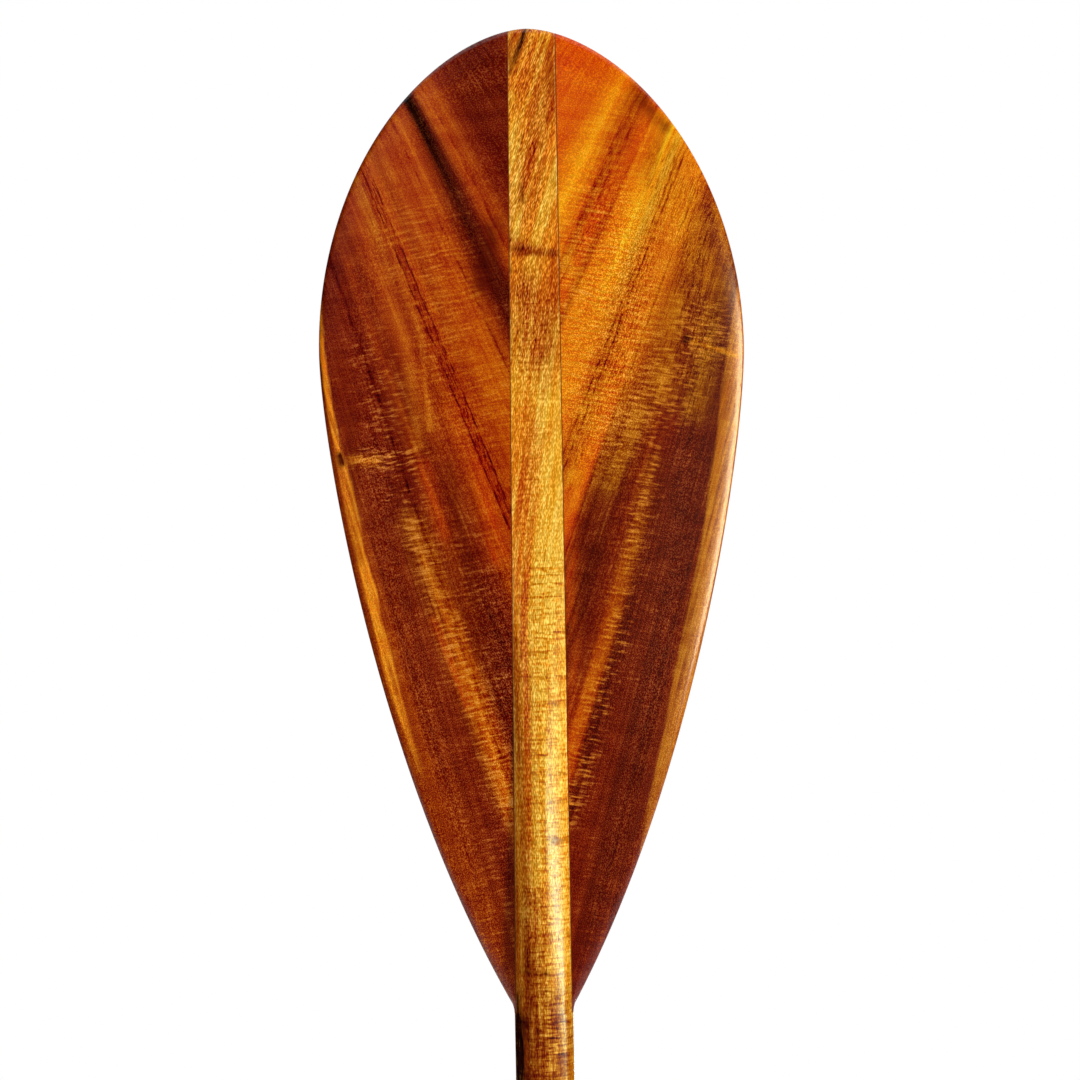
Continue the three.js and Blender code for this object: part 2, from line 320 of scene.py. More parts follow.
def varnished_koa(name, wood):
    """Hand-planed curly koa under a gloss spar varnish.

    A colour runs across the grain, from the inner bands to the outer ones by the layer turn, and
    patches of other tones lie over it. Broad figure changes how deep the stain is: the colour is
    raised to the power of the depth, so that deeper wood is darker and redder, and shallower wood
    is brighter and yellower, as light through varnish shows it. Where the curl makes the stain
    shallowest, the wood shines in the colour of its sheen. Fine figure comes last: grit, ticks,
    hairlines and the curl's dark lines, each a step up or down on the display's scale of tones,
    nearly the same for red, green and blue, because that is how they show through varnish."""
    material, tree = blank_material(name)
    multiply, multiply_add = {"operation": "MULTIPLY"}, {"operation": "MULTIPLY_ADD"}
    smoothly, coloured = {"interpolation_type": "SMOOTHSTEP"}, {"out": 2, "data_type": "RGBA"}
    place = add(tree, "Attribute", out="Vector", attribute_name="grain_mm")
    layer = {
        label: add(tree, "Attribute", out="Fac", attribute_name=label)
        for label in ("turn", "glow", "ember", "shade", "pale", "curl", "speck", "tick", "ripple")
    }
    layer["all"] = 1.0

    # Every noise, by the size of its blobs in mm across, through and along the grain
    noise = {}
    for label, (size, detail) in wood["noises"].items():
        scale = [1 / length for length in size]
        stretched = add(tree, "VectorMath", (place, scale), **multiply)
        noise[label] = add(tree, "TexNoise", {"Vector": stretched, "Scale": 1, "Detail": detail})

    # Three ramps across the grain, which wander a little as they go: tones for the inner and the
    # outer wood, and greys for the dark hairlines along the grain
    across = add(tree, "SeparateXYZ", (place,))
    across = add(tree, "Math", (noise["wander"], wood["wander_mm"], across), **multiply_add)
    middle = wood["wander_mm"] / 2
    ramps = []
    for rows in (wood["inner_bands"], wood["outer_bands"], wood["hairlines"]):
        low, high = rows[0][0], rows[-1][0]
        share = add(tree, "MapRange", (across, low + middle, high + middle))
        ramps.append(add(tree, "ValToRGB", (share,)))
        stops = ramps[-1].node.color_ramp.elements
        while len(stops) < len(rows):
            stops.new(0.5)
        for stop, (at, tone) in zip(stops, rows):
            stop.position = (at - low) / (high - low)
            stop.color = linear(koa_tones[tone]) if tone in koa_tones else (tone, tone, tone, 1)
    inner, outer, hairline = ramps
    colour = add(tree, "Mix", {0: layer["turn"], 6: inner, 7: outer}, **coloured)

    # Patches, with their edges torn along the grain
    torn = add(tree, "MapRange", (noise["torn"], 0.3, 0.7, 0.35, 1.3))
    for label, tone in wood["patches"].items():
        share = add(tree, "Math", (layer[label], torn), use_clamp=True, **multiply)
        colour = add(tree, "Mix", {0: share, 6: colour, 7: linear(tone)}, **coloured)

    # The depth of stain, from each part of the broad figure in turn
    depth = 1.0
    for label, low, high, lighter, deeper, where in wood["figure"]:
        change = add(tree, "MapRange", (noise[label], low, high, lighter, deeper), **smoothly)
        depth = add(tree, "Math", (change, layer[where], depth), **multiply_add)

    # Curl: the wave of the fibres, with its lines broken from one bundle of fibres to the next
    phase = layer["ripple"]
    for label, turns in wood["sway_turns"].items():
        phase = add(tree, "Math", (noise[label], turns, phase), **multiply_add)
    phase = add(tree, "Math", (phase, 2 * math.pi), **multiply)
    wave = add(tree, "Math", (phase,), operation="COSINE")
    broken = add(tree, "MapRange", (noise["break"], 0.4, 0.6, 0.15), **smoothly)
    strength = add(tree, "Math", (broken, layer["curl"]), use_clamp=True, **multiply)
    for low, high, change in wood["ripple_lines"]:
        line = add(tree, "MapRange", (wave, low, high, 0, change), **smoothly)
        depth = add(tree, "Math", (line, strength, depth), **multiply_add)

    # Painted sheen: stain shallower than the first depth is mixed more and more toward the sheen
    # colour, up to the last share, where the curl would shine
    sheen = add(tree, "MapRange", (depth, 0.85, 0.1, 0, 0.9))
    depth = add(tree, "Math", (depth, 0.8), operation="MAXIMUM")
    colour = add(tree, "Gamma", (colour, depth))
    colour = add(tree, "Mix", {0: sheen, 6: colour, 7: linear(wood["sheen"])}, **coloured)

    # Fine flecks: the lighter ones are painted glints of lit fibre ends, the darker ones the gaps
    # between fibres, and none lie in a dark patch
    rough = add(tree, "MapRange", (layer["speck"], 0, 1, 0.7, 2.0))
    calm = add(tree, "Math", (1.0, layer["shade"]), operation="SUBTRACT", use_clamp=True)
    rough = add(tree, "Math", (rough, calm), **multiply)
    grit_and_glint = add(tree, "MapRange", (noise["pits_and_glints"], 0.3, 0.57, wood["grit_and_glint"], -wood["grit_and_glint"] / 2))
    grit_and_glint = add(tree, "Math", (grit_and_glint, rough), **multiply)

    # Dark marks: hairlines dashed by the fibres, ticks, and the dark lines of the curl
    dashed = add(tree, "MapRange", (noise["gaps"], 0.4, 0.6, 0.2, 1.3))
    hairline = add(tree, "Math", (hairline, dashed), **multiply)
    tick = add(tree, "MapRange", (noise["ticks"], 0.56, 0.66, 0, wood["tick_stain"]), **smoothly)
    marks = add(tree, "Math", (tick, layer["tick"], hairline), **multiply_add)
    low, high, most = wood["cross_stain"]
    line = add(tree, "MapRange", (wave, low, high, 0, most), **smoothly)
    marks = add(tree, "Math", (line, strength, marks), use_clamp=True, **multiply_add)

    step = add(tree, "Math", (marks, wood["stain"], grit_and_glint), **multiply_add)
    step = add(tree, "VectorMath", (step, step_of_tone, wood["tone_shift"]), **multiply_add)
    colour = add(tree, "Gamma", (colour, 1 / display_gamma))
    stepped = {0: 1.0, 6: colour, 7: step}
    colour = add(tree, "Mix", stepped, blend_type="ADD", clamp_result=True, **coloured)
    colour = add(tree, "Gamma", (colour, display_gamma))

    # Open pores dull the varnish and dent it
    pores = add(tree, "MapRange", (noise["pores"], 0.56, 0.66), **smoothly)
    gloss = add(tree, "MapRange", (pores, 0, 1, 1.0, 0.3))
    dents = add(tree, "Bump", {"Strength": 0.1, "Distance": 0.1 * MM, "Height": pores}, invert=True)
    surface = add(tree, "BsdfPrincipled", {
        "Base Color": colour,
        "Roughness": 0.5,
        "Specular IOR Level": 0.0,
        "Normal": dents,
        "Coat Weight": gloss,
        "Coat Roughness": 0.2,
        "Coat IOR": 1.5,
        "Coat Normal": dents,
    })
    add(tree, "OutputMaterial", (surface,))
    return material


def dress(piece, node, material):
    """Puts the material on the piece, which stands for the node and rides on the part's body."""
    piece.data.materials.append(material)
    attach(piece, "root")
    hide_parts(node)


def stave_rings(arch_steps=44, side_steps=6):
    """Rings up the stave: circles down the shaft, and above the neck two flat cheeks with an arch
    over the back and the front, a piece of a circle squeezed until it is flat at the rib's top."""
    height, half, stretch = outline(math.pi / 2)
    right = np.minimum(cheek(1, height) - half_seam, half)[:, None]
    left = np.minimum(cheek(-1, height) - half_seam, half)[:, None]
    rise = (neck_radius - neck_root) * (1 - smooth(height / rib_height))[:, None]

    shaft_height = np.linspace(-shaft_length, -0.02 * MM, 260)
    shaft_share = smooth(1 + shaft_height / shaft_length)
    radius = mix(grip_end_radius, neck_radius, shaft_share)[:, None]

    turn = np.linspace(arch_angle, -arch_angle, arch_steps + 1)
    swell = (np.cos(turn) - math.cos(arch_angle)) / (1 - math.cos(arch_angle))
    middle, reach = (right - left) / 2, (right + left) / 2
    blade_x = middle + reach * np.sin(turn) / math.sin(arch_angle)
    rows = [part[:, None] for part in (height, half, stretch)]
    blade_y = half_thickness(*rows, blade_x, no_wing) + rise * swell
    shaft_x, shaft_y = radius * np.sin(turn), radius * np.cos(turn)

    down = np.linspace(1, -1, side_steps + 1)[1:-1]
    blade_side = blade_y[:, :1] * down
    shaft_side = shaft_y[:, :1] * down
    shaft_bulge = np.sqrt(radius ** 2 - shaft_side ** 2)
    blade_ring = (
        np.hstack([blade_x, -left + 0 * blade_side, blade_x[:, ::-1], right + 0 * blade_side]),
        np.hstack([blade_y, blade_side, -blade_y[:, ::-1], -blade_side]),
    )
    shaft_ring = (
        np.hstack([shaft_x, -shaft_bulge, shaft_x[:, ::-1], shaft_bulge]),
        np.hstack([shaft_y, shaft_side, -shaft_y[:, ::-1], -shaft_side]),
    )
    bore_turn = np.linspace(0, 2 * np.pi, shaft_ring[0].shape[1], endpoint=False)
    bore_turn = bore_turn + math.pi / 2 - arch_angle
    bore_x = dowel_bore * np.cos(bore_turn) * np.ones((2, 1))
    bore_y = dowel_bore * np.sin(bore_turn) * np.ones((2, 1))
    bore_height = np.array([stave_bore_depth - shaft_length, -shaft_length])
    x = np.vstack([bore_x, shaft_ring[0], blade_ring[0]])
    y = np.vstack([bore_y, shaft_ring[1], blade_ring[1]])
    z = np.concatenate([bore_height, shaft_height, height])[:, None] + 0 * x
    return np.stack([x, y, z], axis=-1)


def stave_grain(x, y, z):
    """Across, through and along the stave's grain. The grain leans right going up, by 20 degrees at
    the tip, 9 over the middle of the blade and none below, so across is x less the lean so far."""
    heights = np.linspace(z.min(), z.max(), 400)
    lean = np.radians(np.interp(heights, [215, 250, 400, 440], [0, 9, 9, 20]))
    drift = np.concatenate([[0], np.cumsum(np.tan(lean[1:]) * np.diff(heights))])
    return np.stack([x - np.interp(z, heights, drift), y, z], axis=-1)


def stave_ripple(z):
    """Turns of the stave's curl at a height: a whole number falls on each dark cross line, every
    4 mm over the blade, at the counted heights over the rib, and every 11 mm down the shaft."""
    lines = [-11, -2, 14, 24, 48, 74, 101, 119, 134, 143, 151, 173, 187, 199, 210, 220, 229, 236]
    heights = np.concatenate([np.arange(-800, -12, 11), lines, np.arange(240, 560, 4)])
    return np.interp(z, heights, np.arange(len(heights)))


stave = closed_skin("koa_stave", stave_rings())
x, y, z = points_of(stave)
write_layer(stave, "grain_mm", stave_grain(x, y, z))
write_layer(stave, "ripple", stave_ripple(z))
# The tones change from the strip's to the rib's between 330 and 240 mm up
write_layer(stave, "turn", smooth((330 - z) / 90))
# Painted highlight: a pale gleam runs 0.5 mm inside each glued joint, where the wood's edge catches
# the light
joint = np.minimum(cheek(1, z * MM) / MM - x, cheek(-1, z * MM) / MM + x)
write_layer(stave, "pale", 0.4 * np.exp(-((joint - 0.5) / 0.5) ** 2) * (z > 0))
# Below the neck the figure on the back half is drawn 12 mm further left, so that the painted shade
# on the front's left flank doesn't wrap round behind
figure_x = x + 12 * smooth((y + 6) / 8) * smooth(1 - z / 8)
# Glow, ember and shade are patches of bright, red and dark wood; on the stave, shade also holds
# painted shade on the shaft's left flank below the neck. Curl, speck and tick say where the
# ripples, the fine flecks and the dark ticks are strong.
write_strokes(stave, figure_x, z, {
    "glow": [
        (9, 372, 10, 250, 20, 1.0),
        (10, 250, 9, 60, 17, 0.5),
        (6, 345, 8, 310, 26, 0.85),
        (9, 60, 8, -10, 12, 0.4),
        (-8, 500, -7, 425, 8, 0.7),
        (8, 520, 8, 430, 6, 0.4),
        (-12, 345, -12, 250, 5, 0.4),
    ],
    "ember": [
        (-2, 392, 5, 364, 26, 1.0),
        (0, 535, 4, 505, 18, 0.35),
        (-11, 205, -11, 137, 4.5, 0.7),
        (2, 450, -3, 430, 4, 0.5),
        (-14, 419, -4, 417, 7, 2.2),
        (-4, 417, 16, 414, 4.5, 1.8),
        (7, 506, -1, 466, 3, 0.9),
        (9, 470, 3, 440, 3, 0.5),
        (-6, 62, -5, -10, 14, 1.1),
        (-2, -5, -2, -120, 34, 1.15),
        (0, -120, 0, -790, 60, 0.35),
    ],
    "shade": [
        (0, 537, -9, 513, 3.4, 0.75),
        (-9, 537, -9, 520, 6, 0.4),
        (14, 505, 10, 532, 7, 0.22),
        (-4, 452, -3, 443, 2.4, 0.6),
        (-11.4, 410, -10.4, 405, 2, 1.4),
        (-14, 419, -5, 417, 4, 0.6),
        (-5, 417, 16, 414, 2.6, 0.5),
        (-14, 424, -6, 422, 8, 0.25),
        (-13, 395, -11, 360, 5, 0.18),
        (-12, 24, 2, 23, 4, 0.42),
        (-13, 14, 15, 13.5, 2.6, 0.34),
        (-5, 34, -5, 6, 12, 0.22),
        # Painted shade: the shaft's left flank below the neck, which the sun leaves unlit, is
        # darkened, and the dark fades out down the shaft
        (-16, -4, -16, -50, 9.9, 2.2),
        (-16, -50, -17, -150, 9, 0.9),
        (-17, -150, -18, -330, 9, 0.5),
        (-14, 10, -14, 2, 4, 0.6),
        (0, -8, 0, -90, 38, 0.38),
        (6, 110, 11, -20, 8, 0.17),
    ],
    "curl": [
        (7, 236, 7, -20, 30, 1.0),
        (0, 380, 0, 240, 30, 0.35),
        (5, -30, 5, -790, 30, 0.75),
    ],
    "speck": [(0, 540, 0, 380, 40, 0.6), (0, 380, 0, -790, 40, 0.5)],
    "tick": [
        (0, 540, 0, 360, 40, 1.0),
        (-14, 360, -14, 240, 16, 0.8),
        (0, 240, 0, -790, 40, 0.5),
    ],
})

# Koa's pores are 0.15 mm wide and its fibres finer still. Ticks, pores, fine flecks with their
# painted glints, and fibres are drawn two to six times coarser, as fine as the picture can show.
koa_stave_wood = {
    "noises": {
        "wander": ((14, 30, 90), 2),
        "torn": ((3, 6, 22), 3),
        "streaks": ((3.5, 5, 90), 2),
        "fibres": ((0.5, 2, 8), 2),
        "ticks": ((0.42, 1.2, 4.2), 0),
        "pits_and_glints": ((0.5, 1, 1.9), 0),
        "dashes": ((7, 20, 1.1), 1),
        "bundles": ((2.2, 6, 5), 1),
        "sway": ((12, 20, 15), 1),
        "gaps": ((2, 4, 9), 1),
        "break": ((5, 9, 4), 1),
        "pores": ((0.9, 0.9, 3), 1),
    },
    "wander_mm": 3,
    "grit_and_glint": 0.13,
    "tick_stain": 0.7,
    "stain": -0.28,
    "tone_shift": (0.016, 0.002, -0.03),
    "sheen": "#fcc850",
    "cross_stain": (0.86, 1.0, 0.5),
    "inner_bands": [
        (-260, "wheat"), (-130, "flax"), (-60, "wheat"), (-44, "copper"), (-38, "wheat"),
        (-28, "flax"), (-20, "wheat"), (-12, "copper"), (-6, "wheat"), (4, "flax"), (14, "wheat"),
        (60, "flax"),
    ],
    "outer_bands": [
        (-60, "fawn"), (-14, "fawn"), (-11, "wheat"), (-9, "fawn"), (-6, "fawn"), (-4, "gold"),
        (-2, "flax"), (14, "flax"), (18, "gold"), (60, "gold"),
    ],
    "hairlines": [
        (-12, 0), (-9.1, 0.1), (-8.6, 0.3), (-8, 0.05), (-7.2, 0.05), (-6.8, 0.3), (-6.4, 0),
        (1.6, 0), (2, 0.2), (2.4, 0), (5.6, 0), (6, 0.2), (6.4, 0), (11.1, 0), (11.5, 0.2),
        (12, 0),
    ],
    "patches": {
        # Pale is a painted gleam inside the glued joints, and shade includes the painted shade on
        # the shaft's left flank
        "pale": "#e4a858", "glow": "#e6b040", "ember": "#a84c08", "shade": "#2a0802",
    },
    "figure": [
        ("streaks", 0.3, 0.7, -0.28, 0.3, "all"),
        ("fibres", 0.32, 0.68, -0.12, 0.14, "all"),
        ("dashes", 0.5, 0.7, 0.0, 0.65, "curl"),
        ("dashes", 0.48, 0.3, 0.0, -0.35, "curl"),
    ],
    "sway_turns": {"sway": 0.35, "bundles": 0.1},
    "ripple_lines": [(0.7, 1.0, 0.3), (0.3, -0.6, -0.15)],
}
dress(
    stave, "shaft_spine",
    varnished_koa("Koa stave, hand-planed, gloss varnish", koa_stave_wood),
)


# The wings
# Two boards of darker, curlier koa, glued edge to edge with the stave and then planed, crowned and
# rounded at the rim. Their grain fans out from the spine like a feather's, all lines aiming at one
# point high outside the tip, and fine ripples of curl run right across it.

fan_slope = 3.35
fan_gather = 0.0033
ripple_tilt = 0.176
ring_slant = 1.5


def wing_rings(side, inner_steps=60, bevel_steps=8, rounding_steps=8):
    """Rings up one wing: the back from its joint to the rim, and the front from the rim back."""
    height, half, stretch = (part[:, None] for part in outline(tip_crossing(side, half_seam)))
    root = np.minimum(cheek(side, height) + half_seam, half)
    span = half - root
    round_span = np.minimum(rim_rounding * stretch, span / 2)
    bevel_span = np.minimum(bevel_width * stretch, 3 * span / 4)
    inner = root + (span - bevel_span) * np.linspace(0, 1, inner_steps + 1)
    bevel = half - mix(bevel_span, round_span, np.linspace(0, 1, bevel_steps + 1)[1:])
    turn = np.linspace(0, np.pi / 2, rounding_steps + 1)[1:]
    rim = half - round_span * (1 - np.sin(turn))
    across = np.hstack([inner, bevel, rim])
    depth = half_thickness(height, half, stretch, across, root)
    x = side * np.hstack([across, across[:, -2::-1]])
    y = np.hstack([depth, -depth[:, -2::-1]])
    return np.stack([x, y, height + 0 * x], axis=-1)


def wing_grain(x, y, z):
    """Across, through and along a wing's grain. Across is the height at which a grain line would
    meet the axis, and a line climbs fan_slope per unit outward there. It slants through the board.
    Along climbs with the height and a little outward, so its level lines are the ripples."""
    out = np.abs(x)
    across = (z - fan_slope * out) / (1 - fan_gather * out) + ring_slant * (y + full_root / MM)
    return np.stack([across, y, z + ripple_tilt * out], axis=-1)


# The pale sapwood runs inside the rim: rows of height, distance out and half-width, in mm. It
# fades in and out over its first and last stretch, and its edges are soft.
fade_in, fade_out, sapwood_edge = 50, 20, 1.4
sapwood_line = {
    -1: [
        (118, 60, 0.4), (138, 66.8, 1.0), (160, 73.2, 1.9), (182, 79.6, 3.1), (204, 84.2, 3.2),
        (216, 87.2, 2.4), (232, 90.4, 3.5), (253, 95.9, 2.4), (268, 98.2, 3.1), (290, 102.6, 3.1),
        (304, 105.2, 2.2), (312, 107.2, 1.6), (335, 111.2, 1.6), (365, 114.7, 1.3),
        (400, 115, 0.4),
    ],
    1: [
        (60, 55, 6), (97, 64.5, 9), (153, 80, 11.5), (181, 87.5, 13.5), (214, 98.5, 17),
        (251, 109.5, 19), (292, 118.5, 22), (312, 124, 24), (329, 127, 25), (348, 130, 25),
        (367, 133, 25), (395, 138, 25), (410, 142, 25),
    ],
}

left_wood = {
    "inner_bands": [
        (-140, "russet"), (-60, "russet"), (-20, "chestnut"), (10, "liver"), (36, "liver"),
        (48, "russet"), (58, "copper"), (72, "rust"), (84, "crimson"), (94, "liver"),
        (120, "maroon"), (150, "maroon"), (176, "liver"), (192, "russet"), (208, "rust"),
        (250, "rust"), (285, "copper"), (310, "copper"), (330, "russet"), (344, "maroon"),
        (354, "wine"), (370, "wine"), (378, "liver"), (388, "rust"), (404, "russet"),
        (418, "liver"), (440, "maroon"), (500, "maroon"), (530, "russet"),
    ],
    "outer_bands": [
        (-140, "russet"), (-80, "russet"), (-54, "chestnut"), (42, "liver"), (95, "liver"),
        (118, "russet"), (136, "chestnut"), (160, "russet"), (180, "rust"), (204, "russet"),
        (224, "rust"), (240, "copper"), (250, "copper"), (262, "russet"), (284, "rust"),
        (308, "rust"), (334, "copper"), (350, "russet"), (358, "ink"), (368, "ink"),
        (373, "maroon"), (381, "copper"), (396, "copper"), (418, "rust"), (445, "russet"),
        (540, "chestnut"),
    ],
    "hairlines": [
        (70, 0), (78, 0.35), (86, 0), (225, 0), (228, 0.8), (231, 0.1), (239, 0.15), (242, 0.8),
        (245, 0), (318, 0), (321, 0.35), (325, 0), (390, 0), (392, 0.3), (396, 0),
    ],
    "patches": {"pale": "#e88812", "glow": "#cc720e", "ember": "#bc4402", "shade": "#480f03"},
    "sheen": "#d88a3c",
}
right_wood = {
    "inner_bands": [
        (-140, "chestnut"), (-40, "maroon"), (20, "liver"), (50, "maroon"), (68, "maroon"),
        (77, "rust"), (90, "copper"), (101, "rust"), (113, "liver"), (132, "maroon"), (160, "wine"),
        (190, "maroon"), (206, "chestnut"), (216, "orange"), (232, "amber"), (248, "copper"),
        (264, "copper"), (278, "orange"), (292, "amber"), (330, "amber"), (342, "copper"),
        (350, "orange"), (362, "orange"), (370, "copper"), (378, "orange"), (390, "amber"),
        (404, "honey"), (418, "amber"), (440, "orange"), (470, "tangerine"), (540, "tangerine"),
    ],
    "outer_bands": [
        (-140, "chestnut"), (-40, "maroon"), (60, "maroon"), (90, "liver"), (120, "chestnut"),
        (150, "chestnut"), (180, "russet"), (205, "wheat"), (262, "wheat"), (280, "gold"),
        (291, "honey"), (299, "straw"), (307, "honey"), (322, "amber"), (344, "orange"),
        (358, "copper"), (386, "copper"), (398, "orange"), (415, "amber"), (440, "orange"),
        (470, "tangerine"), (540, "tangerine"),
    ],
    "hairlines": [
        (204, 0), (207, 0.4), (211, 0), (251, 0), (254, 0.8), (257, 0.1), (261, 0.1), (264, 0.5),
        (267, 0), (336, 0), (339, 0.3), (343, 0), (357, 0), (361, 0.3), (365, 0.1), (371, 0.1),
        (375, 0.4), (380, 0),
    ],
    "patches": {"pale": "#b46a14", "glow": "#dc8c0e", "ember": "#c04a02", "shade": "#480f03"},
    "sheen": "#e09034",
}
left_strokes = {
    "glow": [
        (67, 269, 50, 220, 14, 0.5),
        (50, 220, 32, 165, 14, 0.65),
        (32, 165, 16, 116, 13, 0.5),
        (62, 250, 24, 140, 5, 0.75),
        (95, 458, 79, 402, 4, 0.6),
        (79, 402, 68, 367, 5, 0.5),
        (68, 367, 62, 310, 6, 0.4),
        (99, 304, 86, 303, 5, 0.9),
        (90, 452, 74, 395, 2, 0.6),
        (84, 450, 66, 385, 2, 0.5),
        (76, 430, 60, 370, 2.4, 0.6),
        (60, 366, 56, 320, 3, 0.5),
    ],
    "ember": [
        (40, 330, 26, 285, 16, 0.35),
        (30, 300, 20, 250, 12, 0.6),
        (60, 300, 50, 262, 8, 0.5),
        (56, 215, 38, 168, 5, 0.5),
    ],
    "shade": [
        (20, 428, 26, 398, 13, 0.7),
        (74, 345, 70, 225, 18, 0.2),
        (46, 300, 34, 225, 6, 0.3),
        (103, 430, 110, 385, 8, 0.18),
        (106, 306, 105, 302, 4, 1.7),
        (100, 330, 97, 250, 6, 0.3),
    ],
    "curl": [
        (67, 269, 50, 220, 17, 1.3),
        (50, 220, 14, 110, 18, 1.5),
        (92, 304, 62, 303, 16, 1.3),
        (85, 360, 70, 280, 36, 0.6),
        (60, 420, 30, 330, 60, 0.5),
        (30, 260, 20, 40, 44, 0.4),
        (90, 400, 60, 150, 100, 0.2),
    ],
    "speck": [
        (90, 400, 50, 300, 60, 0.2),
        (90, 300, 40, 60, 50, 0.6),
        (10, 230, 30, 20, 40, 0.5),
    ],
    "tick": [(88, 457, 14, 275, 9, 1.0), (80, 430, 50, 340, 22, 0.4)],
}
right_strokes = {
    "glow": [
        (68, 462, 56, 425, 8, 0.6),
        (65, 300, 54, 255, 9, 0.15),
        (54, 255, 34, 192, 9, 0.15),
        (34, 192, 20, 160, 9, 0.1),
        (40, 385, 22, 330, 12, 0.4),
        (36, 348, 26, 325, 14, 0.6),
        (60, 330, 40, 290, 14, 0.3),
        (88, 365, 112, 357, 3, 0.9),
        (20, 412, 26, 400, 12, 0.6),
        (22, 320, 18, 280, 12, 0.55),
        (82, 445, 98, 395, 22, 0.5),
        (98, 395, 90, 330, 16, 0.35),
        (101, 444, 108, 408, 7, 0.4),
        (80, 390, 70, 340, 18, 0.4),
    ],
    "ember": [
        (18, 285, 18, 215, 9, 0.6),
        (20, 250, 18, 130, 9, 0.35),
        (77, 483, 66, 454, 11, 0.45),
    ],
    "shade": [
        (92, 320, 80, 190, 13, 0.2),
        (62, 498, 76, 482, 9, 0.62),
        (75, 479, 67, 458, 12, 0.2),
        (60, 504, 56, 492, 7, 0.2),
        (72, 392, 62, 365, 8, 0.1),
        (98, 392, 94, 330, 22, 0.12),
        (86, 367, 84.5, 365.5, 3.6, 1.7),
        (74, 330, 64, 270, 7, 0.2),
        (60, 140, 30, 40, 30, 0.2),
    ],
    "curl": [
        (65, 300, 46, 220, 16, 0.9),
        (46, 220, 16, 110, 18, 1.0),
        (92, 372, 50, 310, 40, 1.0),
        (20, 412, 40, 330, 44, 1.15),
        (40, 440, 60, 370, 40, 1.0),
        (60, 440, 40, 480, 50, 0.35),
        (20, 130, 28, 40, 30, 0.2),
        (90, 420, 60, 200, 90, 0.2),
    ],
    "speck": [
        (84, 300, 40, 60, 46, 0.55),
        (60, 420, 34, 320, 60, 0.6),
        (100, 440, 100, 360, 40, 0.5),
        (20, 180, 24, 40, 30, 0.1),
    ],
    "tick": [
        (78, 462, 44, 350, 22, 1.0),
        (92, 450, 84, 340, 30, 0.95),
        (44, 350, 20, 290, 12, 0.6),
        (50, 480, 30, 420, 14, 0.6),
    ],
}
# A wing's sizes across the grain are measured up the axis, and are 3.5 times the real widths
wing_figure = {
    "noises": {
        "wander": ((34, 60, 110), 1),
        "torn": ((8, 9, 36), 3),
        "streaks": ((9, 12, 150), 2),
        "mottle": ((70, 20, 9), 1),
        "fibres": ((2.2, 3, 36), 2),
        "ticks": ((1.8, 2, 5), 0),
        "pits_and_glints": ((1.4, 1, 0.65), 0),
        "gaps": ((5, 6, 7), 1),
        "bundles": ((10, 9, 4), 1),
        "dashes": ((26, 10, 1.1), 1),
        "sway": ((80, 30, 18), 1),
        "break": ((20, 12, 4), 2),
        "pores": ((3, 1, 3), 1),
    },
    "wander_mm": 7,
    "grit_and_glint": 0.125,
    "tick_stain": 0.55,
    "stain": -0.34,
    "tone_shift": (-0.008, -0.02, -0.044),
    "figure": [
        ("mottle", 0.3, 0.7, -0.07, 0.09, "all"),
        ("streaks", 0.3, 0.7, -0.1, 0.12, "all"),
        ("fibres", 0.3, 0.7, -0.06, 0.07, "all"),
        ("dashes", 0.5, 0.72, 0.0, -0.55, "curl"),
        ("dashes", 0.5, 0.3, 0.0, 0.2, "curl"),
    ],
    "sway_turns": {"sway": 2.6, "bundles": 0.35},
    "ripple_lines": [(0.2, 1.0, -0.42), (-0.1, -0.9, 0.16)],
    "cross_stain": (0.4, 1.0, 0.1),
}

# The curl's lines are 3.5 mm apart, and the tones turn from inner to outer 22 to 70 mm out
ripple_spacing = 3.5
inner_wood, tone_change = 22, 48

for side, node, name, wood, strokes in (
    (-1, "left_wing", "koa_wing_left", left_wood, left_strokes),
    (1, "right_wing", "koa_wing_right", right_wood, right_strokes),
):
    wing = closed_skin(name, wing_rings(side))
    x, y, z = points_of(wing)
    out = np.abs(x)
    grain = wing_grain(x, y, z)
    write_layer(wing, "grain_mm", grain)
    write_layer(wing, "ripple", grain[:, 2] / ripple_spacing)
    write_layer(wing, "turn", smooth((out - inner_wood) / tone_change))
    line_height, line_out, line_half = np.array(sapwood_line[side], float).T
    away = np.abs(out - np.interp(z, line_height, line_out))
    within = np.interp(z, line_height, line_half) - away
    fade = smooth((z - line_height[0]) / fade_in) * smooth((line_height[-1] - z) / fade_out)
    write_layer(wing, "pale", fade * smooth(within / sapwood_edge + 0.5))
    write_strokes(wing, out, z, strokes)
    finish = f"Curly koa, {node.replace('_', ' ')}, hand-planed, gloss varnish"
    dress(wing, node, varnished_koa(finish, {**wing_figure, **wood}))


# The glue lines
# Between stave and wings, and between shaft and grip, is a film of cured wood glue. It is squeezed
# out and planed flush, and shows as a thin dark line with a dull gleam.

glue_half = 0.26 * MM
glue_sink = 0.03 * MM


def cured_glue():
    """Dark wood glue: brown, mottled every 5 or 6 mm along the line, under the same varnish."""
    material, tree = blank_material("Cured wood glue, planed flush")
    place = add(tree, "TexCoord", out="Object")
    mottle = add(tree, "TexNoise", {"Vector": place, "Scale": 180, "Detail": 3})
    tones = {0: mottle, 6: linear("#4c2008"), 7: linear("#7c3e18")}
    surface = add(tree, "BsdfPrincipled", {
        "Base Color": add(tree, "Mix", tones, 2, data_type="RGBA"),
        "Roughness": 0.5,
        "Specular IOR Level": 0.0,
        "Coat Weight": 1.0,
        "Coat Roughness": 0.15,
    })
    add(tree, "OutputMaterial", (surface,))
    return material


